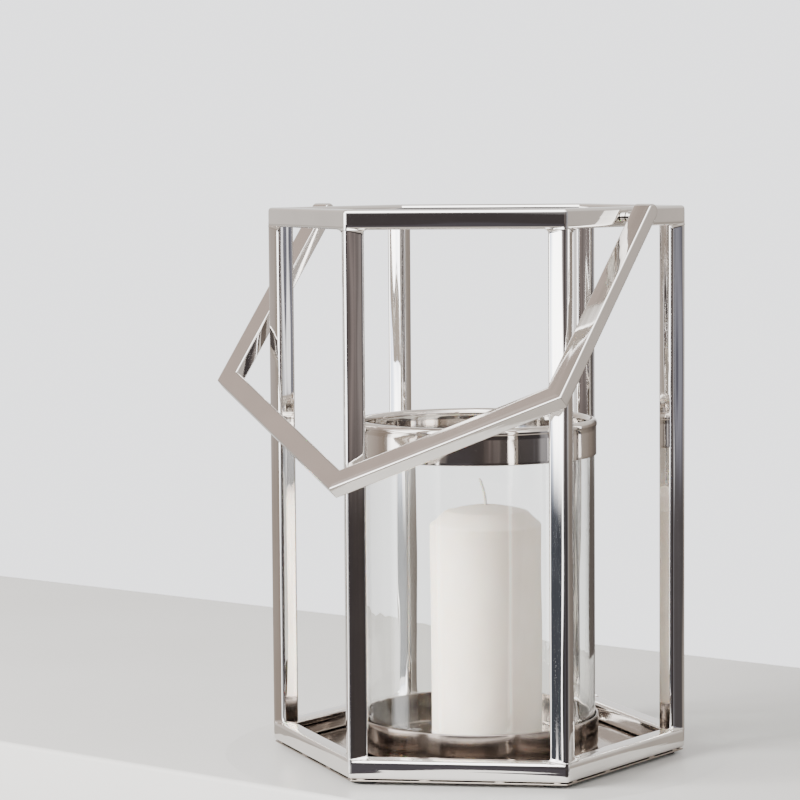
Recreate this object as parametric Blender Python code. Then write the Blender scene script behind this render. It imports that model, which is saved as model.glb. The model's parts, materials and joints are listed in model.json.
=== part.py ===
"""Hexagonal candle lantern: a welded square-tube frame with a swinging bail handle,
a glass cylinder standing in a metal cup, and a pillar candle inside the glass.

Metres, +Z up. The origin is on the surface it stands on, at the middle of the footprint
that the frame and the leaning handle cover together, so the lantern's own axis is a
little towards +Y. Round that axis the hexagon's corners lie at -90, -30, 30, 90, 150 and
210 degrees, so two flats face +X and -X. The handle's pivots are at the middle of the top
rails on those two flats, and the handle leans down towards -Y, where its peak rests on
the post at -90 degrees.
"""
import math

import bmesh
import bpy
from mathutils import Matrix, Vector

# ---------------------------------------------------------------- driving dimensions
SEAM = 0.0003                 # gap kept between pieces that touch

FRAME_RADIUS = 0.130          # axis to an outer corner of either ring
FRAME_HEIGHT = 0.337          # underside of the bottom ring to the top of the top ring
TUBE = 0.012                  # side of the square tube
TUBE_WALL = 0.001
TUBE_EDGE = 0.0015            # outer edge radius of the tube
POST_INSET = 0.0003           # post's outer edge, in from the ring's corner

PLATE_THICKNESS = 0.001
PLATE_INSET = 0.0008          # plate's corners, in from the ring's corners

FOOT_RADIUS = 0.009
FOOT_HEIGHT = 0.0019
FOOT_CHAMFER = 0.0004
FOOT_FROM_CORNER = 0.0155     # foot centre, in from the ring's corner

GLASS_RADIUS = 0.074          # outside of the glass
GLASS_WALL = 0.003
GLASS_HEIGHT = 0.203
GLASS_EDGE = 0.0006           # ground chamfer at both ends

CUP_HEIGHT = 0.0205
CUP_WALL = 0.001
CUP_CLEARANCE = 0.001         # between the glass and the cup's wall
CUP_CORNER = 0.0025           # radius where the cup's floor meets its wall

BAND_HEIGHT = 0.0225
BAND_SKIN = 0.0009            # sheet thickness of the rim band
BEAD_PROUD = 0.0005           # the rolled lip, beyond the band's faces

CANDLE_RADIUS = 0.035
CANDLE_HEIGHT = 0.150
CANDLE_SHOULDER = 0.012       # height of the domed top
CANDLE_CHAMFER_WIDTH = 0.009  # slope outside the flatter crown
CANDLE_CHAMFER_DROP = 0.008
CANDLE_FOOT_CHAMFER = 0.0008
CANDLE_PLACE = (0.0049, 0.0035)  # candle's axis, from the lantern's axis

WICK_RADIUS = 0.0011
WICK_CLEARANCE = 0.0004       # between the wick and its hole in the wax
WICK_RISE = 0.016             # length above the candle
WICK_LEAN = (-0.0032, -0.0024)  # sideways offset of the wick's tip

BAR_WIDTH = 0.0125            # handle bar, across the handle's plane of symmetry
BAR_THICKNESS = 0.0095        # handle bar, square to the handle's own plane
BAR_EDGE = 0.0010
HANDLE_GAP = 0.0040           # between a leg and the rail it pivots on
LEG_LENGTH = 0.1395           # pivot axis to the handle's outer corner
LEG_TAIL = 0.0040             # pivot axis to the centre of the leg's rounded end
ROOF_PITCH = math.radians(30)
REST_CLEARANCE = 0.0003       # between the handle's peak and the post it leans on

STUD_RADIUS = 0.002
STUD_DEPTH = 0.007            # length of the blind hole in the leg
STUD_CLEARANCE = 0.0003
SPACER_RADIUS = 0.0033
WASHER_RADIUS = 0.0045
WASHER_THICKNESS = 0.0008
NUT_ACROSS_FLATS = 0.007
NUT_BODY = 0.0032
NUT_DOME_RADIUS = 0.0031
NUT_DOME_HEIGHT = 0.0040
NUT_BORE_DEPTH = 0.0050

ROUND_STEPS = 48              # facets round the glass, cup, band and candle
FOOT_STEPS = 24
PIN_STEPS = 20
EDGE_STEPS = 2                # facets in each rounded tube edge

# ---------------------------------------------------------------- derived sizes
SIDES = 6
CORNER_ANGLES = [math.radians(-90 + 60 * i) for i in range(SIDES)]
FLAT_ANGLES = [math.radians(-60 + 60 * i) for i in range(SIDES)]  # 2nd is +X, 5th is -X
HALF_SIDE = math.radians(180 / SIDES)
APOTHEM = FRAME_RADIUS * math.cos(HALF_SIDE)      # axis to a ring's outer flat
RAIL_DISTANCE = APOTHEM - TUBE / 2                # axis to a rail's centre line

PLATE_BOTTOM = FOOT_HEIGHT + SEAM
PLATE_TOP = PLATE_BOTTOM + PLATE_THICKNESS
FRAME_BOTTOM = PLATE_TOP + SEAM
FRAME_TOP = FRAME_BOTTOM + FRAME_HEIGHT
LOWER_RAIL_Z = FRAME_BOTTOM + TUBE / 2
UPPER_RAIL_Z = FRAME_TOP - TUBE / 2
POST_HALF_DIAGONAL = TUBE / math.sqrt(2) - TUBE_EDGE * (math.sqrt(2) - 1)
POST_DISTANCE = FRAME_RADIUS - POST_INSET - POST_HALF_DIAGONAL
POST_LENGTH = FRAME_HEIGHT - 2 * TUBE - 2 * SEAM

CUP_BOTTOM = PLATE_TOP + SEAM
CUP_FLOOR = CUP_BOTTOM + CUP_WALL
CUP_RADIUS = GLASS_RADIUS + CUP_CLEARANCE + CUP_WALL
GLASS_BOTTOM = CUP_FLOOR + SEAM
GLASS_TOP = GLASS_BOTTOM + GLASS_HEIGHT
BAND_OUTER = GLASS_RADIUS + SEAM + BAND_SKIN
BAND_INNER = GLASS_RADIUS - GLASS_WALL - SEAM - BAND_SKIN
BEAD_MIDDLE = (BAND_OUTER + BAND_INNER) / 2
BEAD_RADIUS = (BAND_OUTER - BAND_INNER) / 2 + BEAD_PROUD
BAND_TOP = GLASS_TOP + SEAM + BAND_SKIN
BAND_BOTTOM = BAND_TOP - BAND_HEIGHT

CANDLE_BOTTOM = CUP_FLOOR + SEAM
CANDLE_TOP = CANDLE_BOTTOM + CANDLE_HEIGHT
WICK_HOLE = WICK_RADIUS + WICK_CLEARANCE

HANDLE_INNER = APOTHEM + HANDLE_GAP               # inner face of a leg, from the middle
HANDLE_OUTER = HANDLE_INNER + BAR_WIDTH
PIVOT_Z = UPPER_RAIL_Z
PEAK_OUTER = LEG_LENGTH + HANDLE_OUTER * math.tan(ROOF_PITCH)
PEAK_INNER = PEAK_OUTER - BAR_WIDTH / math.cos(ROOF_PITCH)
# The peak's lower inner edge touches the post, so its reach from the axis is the post's.
REST_REACH = FRAME_RADIUS - POST_INSET + REST_CLEARANCE
REST_TILT = (math.acos(REST_REACH / math.hypot(PEAK_INNER, BAR_THICKNESS / 2))
             - math.atan2(BAR_THICKNESS / 2, PEAK_INNER))
HANDLE_REACH = (PEAK_OUTER * math.cos(REST_TILT)
                + BAR_THICKNESS / 2 * math.sin(REST_TILT))
AXIS_Y = (HANDLE_REACH - FRAME_RADIUS) / 2        # lantern's axis, from the origin

SPACER_LENGTH = HANDLE_GAP - 2 * SEAM
WASHER_FACE = APOTHEM - TUBE - SEAM               # washer's face towards the rail
NUT_FACE = WASHER_FACE - WASHER_THICKNESS - SEAM  # nut's face towards the washer
STUD_TIP = NUT_FACE - NUT_BORE_DEPTH + SEAM
STUD_END = HANDLE_INNER + STUD_DEPTH - SEAM

NICKEL = {"Base Color": (0.72, 0.69, 0.66, 1), "Metallic": 1.0, "Roughness": 0.08}
NICKEL_DARK = {"Base Color": (0.62, 0.60, 0.58, 1), "Metallic": 1.0, "Roughness": 0.14}
GLASS = {"Base Color": (0.96, 0.98, 0.98, 1), "Roughness": 0.02, "Transmission Weight": 1.0,
         "IOR": 1.5}
WAX = {"Base Color": (0.93, 0.88, 0.80, 1), "Roughness": 0.5}
COTTON = {"Base Color": (0.90, 0.86, 0.76, 1), "Roughness": 0.9}
RUBBER = {"Base Color": (0.05, 0.05, 0.05, 1), "Roughness": 0.8}


# ---------------------------------------------------------------- tools
def add_empty(name, location, rotation=(0, 0, 0), parent=None):
    """A bare axis that pieces are placed from."""
    empty = bpy.data.objects.new(name, None)
    bpy.context.scene.collection.objects.link(empty)
    empty.location = location
    empty.rotation_euler = rotation
    empty.parent = parent
    return empty


def add_object(parent, name, mesh, finish, location=(0, 0, 0), rotation=(0, 0, 0)):
    """Place a mesh as a named object with its own material, measured from its parent."""
    material = bpy.data.materials.new(name)
    material.use_nodes = True
    shader = material.node_tree.nodes["Principled BSDF"]
    for socket, value in finish.items():
        shader.inputs[socket].default_value = value
    mesh.materials.append(material)
    obj = bpy.data.objects.new(name, mesh)
    bpy.context.scene.collection.objects.link(obj)
    obj.location = location
    obj.rotation_euler = rotation
    obj.parent = parent
    return obj


def finish_mesh(name, bm, smooth_below=None):
    """Close a bmesh into a mesh; edges flatter than smooth_below are shaded smooth."""
    bmesh.ops.recalc_face_normals(bm, faces=bm.faces)
    mesh = bpy.data.meshes.new(name)
    bm.to_mesh(mesh)
    bm.free()
    if smooth_below is not None:
        mesh.shade_smooth()
        mesh.set_sharp_from_angle(angle=smooth_below)
    return mesh


def arc(centre, radius, start, end, steps):
    """Points on an arc, both ends included."""
    points = []
    for i in range(steps + 1):
        angle = start + (end - start) * i / steps
        points.append((centre[0] + radius * math.cos(angle),
                       centre[1] + radius * math.sin(angle)))
    return points


def rounded_rectangle(width, height, radius):
    """Outline of a rectangle round the origin, with rounded corners."""
    points = []
    for i, (sx, sy) in enumerate(((1, 1), (-1, 1), (-1, -1), (1, -1))):
        centre = (sx * (width / 2 - radius), sy * (height / 2 - radius))
        start = i * math.pi / 2
        points += arc(centre, radius, start, start + math.pi / 2, EDGE_STEPS)
    return points


def tube_mesh(name, reach):
    """Open square tube along X; reach gives the half length at a point's Y."""
    inner_edge = TUBE_EDGE - TUBE_WALL
    outer = rounded_rectangle(TUBE, TUBE, TUBE_EDGE)
    inner = rounded_rectangle(TUBE - 2 * TUBE_WALL, TUBE - 2 * TUBE_WALL, inner_edge)
    bm = bmesh.new()
    loops = {}
    for end in (-1, 1):
        for key, outline in (("outer", outer), ("inner", inner)):
            loops[key, end] = [bm.verts.new((end * reach(y), y, z)) for y, z in outline]
    pairs = ((("outer", -1), ("outer", 1)), (("inner", -1), ("inner", 1)),
             (("outer", -1), ("inner", -1)), (("outer", 1), ("inner", 1)))
    for first, second in pairs:
        a, b = loops[first], loops[second]
        for i in range(len(a)):
            j = (i + 1) % len(a)
            bm.faces.new((a[i], a[j], b[j], b[i]))
    return finish_mesh(name, bm, math.radians(50))


def turned_mesh(name, profile, steps, closed=True, smooth_below=math.radians(35)):
    """Turn a profile of (radius, height) points about Z; an open one ends on the axis."""
    bm = bmesh.new()
    verts = [bm.verts.new((r, 0, z)) for r, z in profile]
    edges = [bm.edges.new(pair) for pair in zip(verts, verts[1:])]
    if closed:
        edges.append(bm.edges.new((verts[-1], verts[0])))
    bmesh.ops.spin(bm, geom=verts + edges, cent=(0, 0, 0), axis=(0, 0, 1),
                   angle=2 * math.pi, steps=steps, use_merge=True)
    bmesh.ops.remove_doubles(bm, verts=bm.verts, dist=1e-6)
    return finish_mesh(name, bm, smooth_below)


def cylinder_along_x(bm, radius, start, end, steps=PIN_STEPS):
    """Add a closed cylinder on the X axis."""
    middle = Matrix.Translation(((start + end) / 2, 0, 0))
    bmesh.ops.create_cone(bm, cap_ends=True, segments=steps, radius1=radius, radius2=radius,
                          depth=abs(end - start),
                          matrix=middle @ Matrix.Rotation(math.pi / 2, 4, "Y"))


# ---------------------------------------------------------------- frame
def make_ring(axis, prefix, height):
    """Six mitred rails; rail 1 joins corners 1 and 2, and so on round."""
    half_seam = SEAM / 2 / math.cos(HALF_SIDE)

    def reach(offset):
        return (RAIL_DISTANCE + offset) * math.tan(HALF_SIDE) - half_seam

    rails = []
    for i, angle in enumerate(FLAT_ANGLES):
        name = f"{prefix}_rail_{i + 1}"
        place = (RAIL_DISTANCE * math.cos(angle), RAIL_DISTANCE * math.sin(angle), height)
        rails.append(add_object(axis, name, tube_mesh(name, reach), NICKEL, place,
                                (0, 0, angle - math.pi / 2)))
    return rails


def make_posts(axis):
    """Six upright tubes between the rings, each with one edge facing outwards."""
    middle = (LOWER_RAIL_Z + UPPER_RAIL_Z) / 2
    for i, angle in enumerate(CORNER_ANGLES):
        name = f"post_{i + 1}"
        mesh = tube_mesh(name, lambda offset: POST_LENGTH / 2)
        mesh.transform(Matrix.Rotation(math.pi / 2, 4, "Y"))
        place = (POST_DISTANCE * math.cos(angle), POST_DISTANCE * math.sin(angle), middle)
        add_object(axis, name, mesh, NICKEL, place, (0, 0, angle + math.pi / 4))


def make_base_plate(axis):
    """Thin hexagonal sheet under the bottom ring."""
    bm = bmesh.new()

    def hexagon(radius, height):
        return [bm.verts.new((radius * math.cos(a), radius * math.sin(a), height))
                for a in CORNER_ANGLES]

    plate_radius = FRAME_RADIUS - PLATE_INSET
    top = hexagon(plate_radius, PLATE_TOP)
    bottom = hexagon(plate_radius, PLATE_BOTTOM)
    bm.faces.new(top)
    bm.faces.new(bottom)
    for i in range(SIDES):
        j = (i + 1) % SIDES
        bm.faces.new((top[i], top[j], bottom[j], bottom[i]))
    add_object(axis, "base_plate", finish_mesh("base_plate", bm), NICKEL_DARK)


def make_feet(axis):
    """Six round pads under the plate's corners."""
    distance = FRAME_RADIUS - FOOT_FROM_CORNER
    profile = [(0, 0), (FOOT_RADIUS - FOOT_CHAMFER, 0), (FOOT_RADIUS, FOOT_CHAMFER),
               (FOOT_RADIUS, FOOT_HEIGHT), (0, FOOT_HEIGHT)]
    for i, angle in enumerate(CORNER_ANGLES):
        name = f"foot_{i + 1}"
        place = (distance * math.cos(angle), distance * math.sin(angle), 0)
        add_object(axis, name, turned_mesh(name, profile, FOOT_STEPS, closed=False), RUBBER,
                   place)


# ---------------------------------------------------------------- glass, cup and candle
def make_cup(axis):
    """Shallow dish on the plate that holds the foot of the glass."""
    outer_corner = (CUP_RADIUS - CUP_CORNER, CUP_BOTTOM + CUP_CORNER)
    inner_radius = CUP_CORNER - CUP_WALL
    top = CUP_BOTTOM + CUP_HEIGHT
    rim = CUP_WALL / 2
    profile = [(0, CUP_BOTTOM)]
    profile += arc(outer_corner, CUP_CORNER, -math.pi / 2, 0, 3)
    profile += arc((CUP_RADIUS - rim, top - rim), rim, 0, math.pi, 4)
    profile += arc(outer_corner, inner_radius, 0, -math.pi / 2, 2)
    profile += [(0, CUP_FLOOR)]
    add_object(axis, "glass_cup", turned_mesh("glass_cup", profile, ROUND_STEPS, closed=False),
               NICKEL)


def make_glass(axis):
    """Open-ended glass cylinder standing on the cup's floor."""
    inside = GLASS_RADIUS - GLASS_WALL
    profile = []
    for r, z, first, second in (
            (GLASS_RADIUS, GLASS_BOTTOM, (-1, 0), (0, 1)),
            (GLASS_RADIUS, GLASS_TOP, (0, -1), (-1, 0)),
            (inside, GLASS_TOP, (1, 0), (0, -1)),
            (inside, GLASS_BOTTOM, (0, 1), (1, 0))):
        for dr, dz in (first, second):
            profile.append((r + dr * GLASS_EDGE, z + dz * GLASS_EDGE))
    add_object(axis, "glass_cylinder", turned_mesh("glass_cylinder", profile, ROUND_STEPS), GLASS)


def make_rim_band(axis):
    """Sheet-metal channel over the glass's top edge, with a rolled lip."""
    bead_centre = (BEAD_MIDDLE, BAND_TOP - BEAD_RADIUS)
    turn_in = math.acos((BAND_OUTER - BEAD_MIDDLE) / BEAD_RADIUS)
    profile = [(BAND_OUTER, BAND_BOTTOM)]
    profile += arc(bead_centre, BEAD_RADIUS, -turn_in, math.pi + turn_in, 10)
    profile += [(BAND_INNER, BAND_BOTTOM), (BAND_INNER + BAND_SKIN, BAND_BOTTOM),
                (BAND_INNER + BAND_SKIN, GLASS_TOP + SEAM),
                (BAND_OUTER - BAND_SKIN, GLASS_TOP + SEAM),
                (BAND_OUTER - BAND_SKIN, BAND_BOTTOM)]
    add_object(axis, "rim_band", turned_mesh("rim_band", profile, ROUND_STEPS), NICKEL)


def make_candle(axis):
    """Pillar candle with a domed top and a hole for its wick."""
    chamfer_z = CANDLE_TOP - CANDLE_SHOULDER
    crown = (CANDLE_RADIUS - CANDLE_CHAMFER_WIDTH, chamfer_z + CANDLE_CHAMFER_DROP)
    crown_rise = CANDLE_TOP - crown[1]
    profile = [(WICK_HOLE, CANDLE_BOTTOM),
               (CANDLE_RADIUS - CANDLE_FOOT_CHAMFER, CANDLE_BOTTOM),
               (CANDLE_RADIUS, CANDLE_BOTTOM + CANDLE_FOOT_CHAMFER),
               (CANDLE_RADIUS, chamfer_z), crown]
    for share in (0.35, 0.7):
        rise = math.sin(share * math.pi / 2)
        profile.append((crown[0] * (1 - share), crown[1] + crown_rise * rise))
    profile.append((WICK_HOLE, CANDLE_TOP))
    add_object(axis, "candle", turned_mesh("candle", profile, ROUND_STEPS), WAX,
               (*CANDLE_PLACE, 0))


def make_wick(axis):
    """Cotton wick: straight through the wax, then leaning over above it."""
    curve = bpy.data.curves.new("wick", "CURVE")
    curve.dimensions = "3D"
    curve.bevel_depth = WICK_RADIUS
    curve.bevel_resolution = 2
    curve.use_fill_caps = True
    bend_points = 6
    points = [(0, 0, CANDLE_BOTTOM), (0, 0, CANDLE_TOP - WICK_RISE / bend_points)]
    for i in range(bend_points + 1):
        share = i / bend_points
        lean = share ** 2
        points.append((WICK_LEAN[0] * lean, WICK_LEAN[1] * lean,
                       CANDLE_TOP + WICK_RISE * share))
    spline = curve.splines.new("POLY")
    spline.points.add(len(points) - 1)
    for point, co in zip(spline.points, points):
        point.co = (*co, 1)
    add_object(axis, "wick", curve, COTTON, (*CANDLE_PLACE, 0))


# ---------------------------------------------------------------- handle and pivots
def bar_mesh(name, length, start_slope, end_slope):
    """Solid bar along X with rounded edges; slopes cut its ends back towards +Y."""
    outline = rounded_rectangle(BAR_WIDTH, BAR_THICKNESS, BAR_EDGE)
    bm = bmesh.new()
    start = [bm.verts.new((SEAM / 2 + y * start_slope, y, z)) for y, z in outline]
    end = [bm.verts.new((length - SEAM / 2 - y * end_slope, y, z)) for y, z in outline]
    bm.faces.new(start)
    bm.faces.new(end)
    for i in range(len(outline)):
        j = (i + 1) % len(outline)
        bm.faces.new((start[i], start[j], end[j], end[i]))
    return finish_mesh(name, bm, math.radians(50))


def leg_mesh(name, corner, slope):
    """Solid leg along X: half-round tail behind the pivot, mitred end at the corner."""
    radius = BAR_THICKNESS / 2
    tail = arc((-LEG_TAIL, 0), radius, math.pi / 2, 3 * math.pi / 2, 10)
    bm = bmesh.new()
    sides = []
    for y in (-BAR_WIDTH / 2, BAR_WIDTH / 2):
        end = corner - SEAM / 2 - y * slope
        outline = tail + [(end, -radius), (end, radius)]
        sides.append([bm.verts.new((x, y, z)) for x, z in outline])
    near, far = sides
    bm.faces.new(near)
    bm.faces.new(far)
    count = len(near)
    weight = bm.edges.layers.float.new("bevel_weight_edge")
    for i in range(count):
        j = (i + 1) % count
        bm.faces.new((near[i], near[j], far[j], far[i]))
    mitre = set(near[-2:] + far[-2:])
    for edge in bm.edges:
        across = edge.verts[0].co.y != edge.verts[1].co.y
        if not across and not set(edge.verts) <= mitre:
            edge[weight] = 1.0
    return finish_mesh(name, bm, math.radians(40))


def make_handle(pivot):
    """Four bars in one plane, placed from the pivot axis, which carries the rest tilt."""
    corner_slope = math.tan((math.pi / 2 - ROOF_PITCH) / 2)
    peak_slope = math.tan(ROOF_PITCH)
    leg_middle = HANDLE_OUTER - BAR_WIDTH / 2
    corner = LEG_LENGTH - BAR_WIDTH / 2 * corner_slope
    peak = PEAK_OUTER - BAR_WIDTH / 2 / math.cos(ROOF_PITCH)
    roof_length = math.hypot(leg_middle, peak - corner)

    legs = []
    for side, word in ((1, "right"), (-1, "left")):
        # Bars run along their own X; their +Y faces the inside of the handle.
        name = f"handle_leg_{word}"
        mesh = leg_mesh(name, corner, corner_slope)
        mesh.transform(Matrix.Scale(-side, 4, (0, 1, 0)))
        if side > 0:
            mesh.flip_normals()
        leg = add_object(pivot, name, mesh, NICKEL, (side * leg_middle, 0, 0),
                         (0, 0, -math.pi / 2))
        bevel = leg.modifiers.new("rounded_edges", "BEVEL")
        bevel.width = BAR_EDGE
        bevel.segments = EDGE_STEPS
        bevel.limit_method = "WEIGHT"
        legs.append(leg)

        name = f"handle_roof_{word}"
        mesh = bar_mesh(name, roof_length, corner_slope, peak_slope)
        mesh.transform(Matrix.Scale(-side, 4, (0, 1, 0)))
        if side > 0:
            mesh.flip_normals()
        heading = math.atan2(-(peak - corner), -side * leg_middle)
        add_object(pivot, name, mesh, NICKEL, (side * leg_middle, -corner, 0),
                   (0, 0, heading))
    return legs


def hollow_cylinder(name, radius, bore, start, end):
    """Ring-shaped piece on the X axis between start and end."""
    low, high = sorted((start, end))
    mesh = turned_mesh(name, [(radius, low), (radius, high), (bore, high), (bore, low)],
                       PIN_STEPS)
    mesh.transform(Matrix.Rotation(math.pi / 2, 4, "Y"))
    return mesh


def make_pivots(pivot, legs, rails):
    """Stud, spacer, washer and cap nut at each pivot, with the bores they need."""
    bore = STUD_RADIUS + STUD_CLEARANCE
    for side, word, leg, rail in ((1, "right", legs[0], rails[0]),
                                  (-1, "left", legs[1], rails[1])):
        bm = bmesh.new()
        cylinder_along_x(bm, bore, side * NUT_FACE, side * (HANDLE_INNER + STUD_DEPTH))
        cutter = bpy.data.objects.new(f"pivot_bore_{word}", finish_mesh("pivot_bore", bm))
        bpy.context.scene.collection.objects.link(cutter)
        cutter.parent = pivot
        cutter.hide_render = True
        cutter.display_type = "WIRE"
        for piece in (leg, rail):
            cut = piece.modifiers.new("pivot_bore", "BOOLEAN")
            cut.operation = "DIFFERENCE"
            cut.solver = "EXACT"
            cut.object = cutter

        bm = bmesh.new()
        cylinder_along_x(bm, STUD_RADIUS, side * STUD_TIP, side * STUD_END)
        name = f"pivot_stud_{word}"
        add_object(pivot, name, finish_mesh(name, bm, math.radians(40)), NICKEL)

        name = f"pivot_spacer_{word}"
        start = APOTHEM + SEAM
        mesh = hollow_cylinder(name, SPACER_RADIUS, bore, side * start,
                               side * (start + SPACER_LENGTH))
        add_object(pivot, name, mesh, NICKEL)

        name = f"pivot_washer_{word}"
        mesh = hollow_cylinder(name, WASHER_RADIUS, bore, side * WASHER_FACE,
                               side * (WASHER_FACE - WASHER_THICKNESS))
        add_object(pivot, name, mesh, NICKEL)

        name = f"cap_nut_{word}"
        mesh = cap_nut(name, bore)
        rotation = (0, 0, 0) if side > 0 else (0, 0, math.pi)
        add_object(pivot, name, mesh, NICKEL, (side * NUT_FACE, 0, 0), rotation)


def cap_nut(name, bore):
    """Hexagon with a dome on it and a blind bore; open face at the origin, dome at -X."""
    corner_radius = NUT_ACROSS_FLATS / math.sqrt(3)
    bm = bmesh.new()
    steps = 4 * SIDES

    def ring(x, radius_at):
        verts = []
        for i in range(steps):
            angle = 2 * math.pi * i / steps
            radius = radius_at(angle)
            verts.append(bm.verts.new((x, radius * math.cos(angle), radius * math.sin(angle))))
        return verts

    def hexagon(angle):
        turn = (angle + HALF_SIDE) % (2 * HALF_SIDE) - HALF_SIDE
        return corner_radius * math.cos(HALF_SIDE) / math.cos(turn)

    rings = [ring(-NUT_BORE_DEPTH, lambda a: bore), ring(0, lambda a: bore),
             ring(0, hexagon), ring(-NUT_BODY, hexagon)]
    dome_steps = 4
    for i in range(dome_steps):
        share = i / dome_steps * math.pi / 2
        rings.append(ring(-NUT_BODY - NUT_DOME_HEIGHT * math.sin(share),
                          lambda a, s=share: NUT_DOME_RADIUS * math.cos(s)))
    for first, second in zip(rings, rings[1:]):
        for i in range(steps):
            j = (i + 1) % steps
            bm.faces.new((first[i], first[j], second[j], second[i]))
    bm.faces.new(rings[0])
    tip = bm.verts.new((-NUT_BODY - NUT_DOME_HEIGHT, 0, 0))
    for i in range(steps):
        bm.faces.new((rings[-1][i], rings[-1][(i + 1) % steps], tip))
    return finish_mesh(name, bm, math.radians(30))


def main():
    for obj in list(bpy.data.objects):
        bpy.data.objects.remove(obj, do_unlink=True)
    axis = add_empty("lantern_axis", (0, AXIS_Y, 0))
    make_ring(axis, "bottom", LOWER_RAIL_Z)
    top_rails = make_ring(axis, "top", UPPER_RAIL_Z)
    make_posts(axis)
    make_base_plate(axis)
    make_feet(axis)
    make_cup(axis)
    make_glass(axis)
    make_rim_band(axis)
    make_candle(axis)
    make_wick(axis)
    pivot = add_empty("handle_pivot", (0, 0, PIVOT_Z), (REST_TILT, 0, 0), axis)
    legs = make_handle(pivot)
    make_pivots(pivot, legs, (top_rails[1], top_rails[4]))


main()
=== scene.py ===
import json
import math
import random

import bmesh
import bpy
import numpy as np
from mathutils import Matrix, Vector

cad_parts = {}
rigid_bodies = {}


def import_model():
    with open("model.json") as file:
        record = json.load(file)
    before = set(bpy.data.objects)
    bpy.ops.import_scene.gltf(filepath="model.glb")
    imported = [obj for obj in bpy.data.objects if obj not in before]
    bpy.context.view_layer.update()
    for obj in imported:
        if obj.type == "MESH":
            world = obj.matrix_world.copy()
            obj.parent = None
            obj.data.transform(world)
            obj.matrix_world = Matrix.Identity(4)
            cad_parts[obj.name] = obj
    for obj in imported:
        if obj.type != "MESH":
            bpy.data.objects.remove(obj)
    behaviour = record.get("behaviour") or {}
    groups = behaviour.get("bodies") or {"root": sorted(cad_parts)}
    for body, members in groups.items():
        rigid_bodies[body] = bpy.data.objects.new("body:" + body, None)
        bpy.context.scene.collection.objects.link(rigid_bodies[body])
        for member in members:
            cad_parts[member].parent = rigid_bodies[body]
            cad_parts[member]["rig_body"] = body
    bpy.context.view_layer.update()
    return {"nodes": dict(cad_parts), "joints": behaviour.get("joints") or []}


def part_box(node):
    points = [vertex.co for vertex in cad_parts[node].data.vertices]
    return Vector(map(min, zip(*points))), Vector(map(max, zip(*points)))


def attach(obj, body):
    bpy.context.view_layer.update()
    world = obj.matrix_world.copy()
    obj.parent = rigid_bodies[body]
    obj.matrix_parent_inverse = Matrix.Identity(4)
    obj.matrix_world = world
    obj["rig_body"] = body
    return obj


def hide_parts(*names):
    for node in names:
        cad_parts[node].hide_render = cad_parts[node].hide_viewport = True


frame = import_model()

# ---------------------------------------------------------------- places, from the frame
SIDES = 6
CORNER_ANGLES = [math.radians(-90 + 60 * i) for i in range(SIDES)]
FLAT_ANGLES = [math.radians(-60 + 60 * i) for i in range(SIDES)]
HALF_SIDE = math.radians(180 / SIDES)

_low, _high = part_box("bottom_rail_2")             # the rail whose outer face looks along +X
APOTHEM = _high.x                                 # axis to a ring's outer flat
TUBE = _high.z - _low.z
AXIS_Y = (_low.y + _high.y) / 2
FRAME_BOTTOM = _low.z
FRAME_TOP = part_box("top_rail_2")[1].z
RING_CORNER = APOTHEM / math.cos(HALF_SIDE)

_low, _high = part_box("post_1")
POST_HALF_DIAGONAL = (_high.x - _low.x) / 2
POST_DISTANCE = AXIS_Y - (_low.y + _high.y) / 2

_low, _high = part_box("base_plate")
PLATE_BOTTOM, PLATE_TOP = _low.z, _high.z
PLATE_RADIUS = AXIS_Y - _low.y

_low, _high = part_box("foot_1")
FOOT_RADIUS = (_high.x - _low.x) / 2
FOOT_HEIGHT = _high.z
FOOT_DISTANCE = AXIS_Y - (_low.y + _high.y) / 2

_low, _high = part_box("glass_cup")
CUP_RADIUS = (_high.x - _low.x) / 2
CUP_BOTTOM, CUP_TOP = _low.z, _high.z

_low, _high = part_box("glass_cylinder")
GLASS_RADIUS = (_high.x - _low.x) / 2
GLASS_BOTTOM, GLASS_TOP = _low.z, _high.z

_low, _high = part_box("rim_band")
BEAD_OUTER = (_high.x - _low.x) / 2
BAND_BOTTOM, BAND_TOP = _low.z, _high.z

_low, _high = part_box("candle")
CANDLE_X, CANDLE_Y = (_low.x + _high.x) / 2, (_low.y + _high.y) / 2
CANDLE_RADIUS = (_high.x - _low.x) / 2
CANDLE_BOTTOM, CANDLE_TOP = _low.z, _high.z

_low, _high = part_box("wick")
WICK_TIP = Vector((_low.x, _low.y, _high.z))      # the wick leans towards -X and -Y

PIVOT = Vector(next(j for j in frame["joints"] if j["name"] == "handle_swing")["pos_m"])
_leg = frame["nodes"]["handle_leg_right"].data.vertices
_roof = frame["nodes"]["handle_roof_right"].data.vertices
LEG_OUTER_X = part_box("handle_leg_right")[1].x
LEG_INNER_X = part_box("handle_leg_right")[0].x

# ---------------------------------------------------------------- sizes the frame can't give
TUBE_EDGE = 0.0021            # edge radius of the square tube
CORNER_EDGE = 0.0030          # a ring's mitred corners, ground rounder than its tube
TUBE_CROWN = math.radians(2.2)  # slope of a tube's face beside its edges
WELD_FILLET = 0.0038          # ground weld between a post and a ring
LEAST_RADIUS = 0.00004        # of a mitre's inner corners
GLASS_WALL = 0.003
SHEET = 0.001                 # cup's wall
BAND_SKIN = 0.0009
BAR_THICKNESS = 0.0095
BAR_EDGE = 0.0011
BAR_CROWN = math.radians(1.0)
ROOF_PITCH = math.radians(30)
STUD_RADIUS = 0.002
SPACER_RADIUS = 0.0033
WASHER_RADIUS = 0.0045
NUT_ACROSS_FLATS = 0.007
NUT_BODY = 0.0032
NUT_DOME_RADIUS = 0.0031
NUT_DOME_HEIGHT = 0.0040
NUT_BORE_DEPTH = 0.0049
PIVOT_CLEARANCE = 0.00025     # round the stud
THREAD_PITCH = 0.0007
THREAD_DEPTH = 0.0003
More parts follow.
